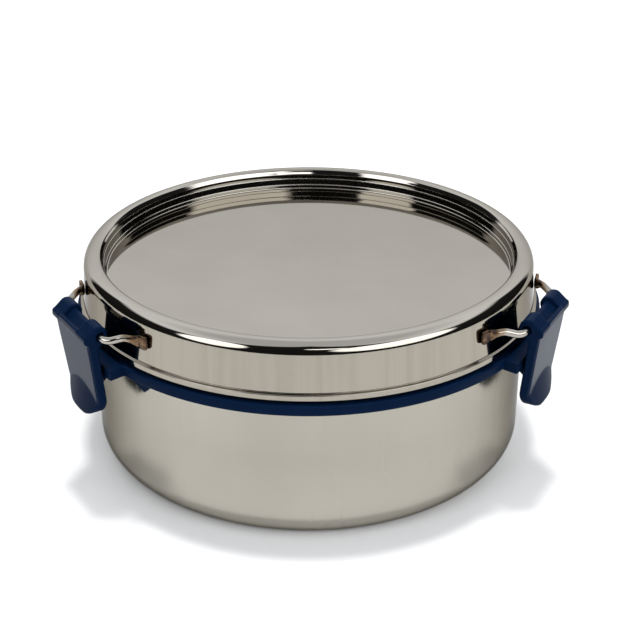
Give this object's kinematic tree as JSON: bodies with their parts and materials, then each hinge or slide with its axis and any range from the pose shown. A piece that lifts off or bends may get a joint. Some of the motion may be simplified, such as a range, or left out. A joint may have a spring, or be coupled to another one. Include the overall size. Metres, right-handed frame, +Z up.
{
  "type": "tiffin carrier",
  "caption": "Round single-tier steel food carrier: deep-drawn container, blue clamp collar, pressed lid with gasket, and clips on welded wire bails.",
  "frame": {"origin": "centre of the container's flat base, on the surface it stands on", "axes": "+Z up through the lid, +Y towards the back latch, so the other two latches stand at 210 and 330 degrees about +Z"},
  "size_m": [0.1748, 0.1763, 0.0739],
  "materials": {
    "satin_steel": "satin deep-drawn stainless steel with faint upright streaks",
    "mirror_steel": "mirror-polished stainless steel sheet",
    "chrome_wire": "bright bent wire, heat-tinted brown at its welded ends",
    "blue_plastic": "navy blue moulded plastic, semi-gloss",
    "silicone": "translucent white silicone, matte"
  },
  "bodies": {
    "container": {"container": "satin_steel", "clamp_collar": "blue_plastic"},
    "lid": {"lid": "mirror_steel", "lid_gasket": "silicone", "bail_back": "chrome_wire", "bail_left": "chrome_wire", "bail_right": "chrome_wire"},
    "clip_back": {"clip_back": "blue_plastic"},
    "clip_left": {"clip_left": "blue_plastic"},
    "clip_right": {"clip_right": "blue_plastic"}
  },
  "joints": [
    {"name": "lid_lift", "type": "slide", "parent": "container", "child": "lid", "axis": [0, 0, 1], "range_m": [0, 0.15]},
    {"name": "clip_back_swing", "type": "hinge", "parent": "lid", "child": "clip_back", "pos_m": [0, 0.0876, 0.0653], "axis": [1, 0, 0], "range_deg": [0, 180]},
    {"name": "clip_left_swing", "type": "hinge", "parent": "lid", "child": "clip_left", "pos_m": [-0.07586, -0.0438, 0.0653], "axis": [-0.5, 0.866, 0], "range_deg": [0, 180]},
    {"name": "clip_right_swing", "type": "hinge", "parent": "lid", "child": "clip_right", "pos_m": [0.07586, -0.0438, 0.0653], "axis": [-0.5, -0.866, 0], "range_deg": [0, 180]}
  ]
}
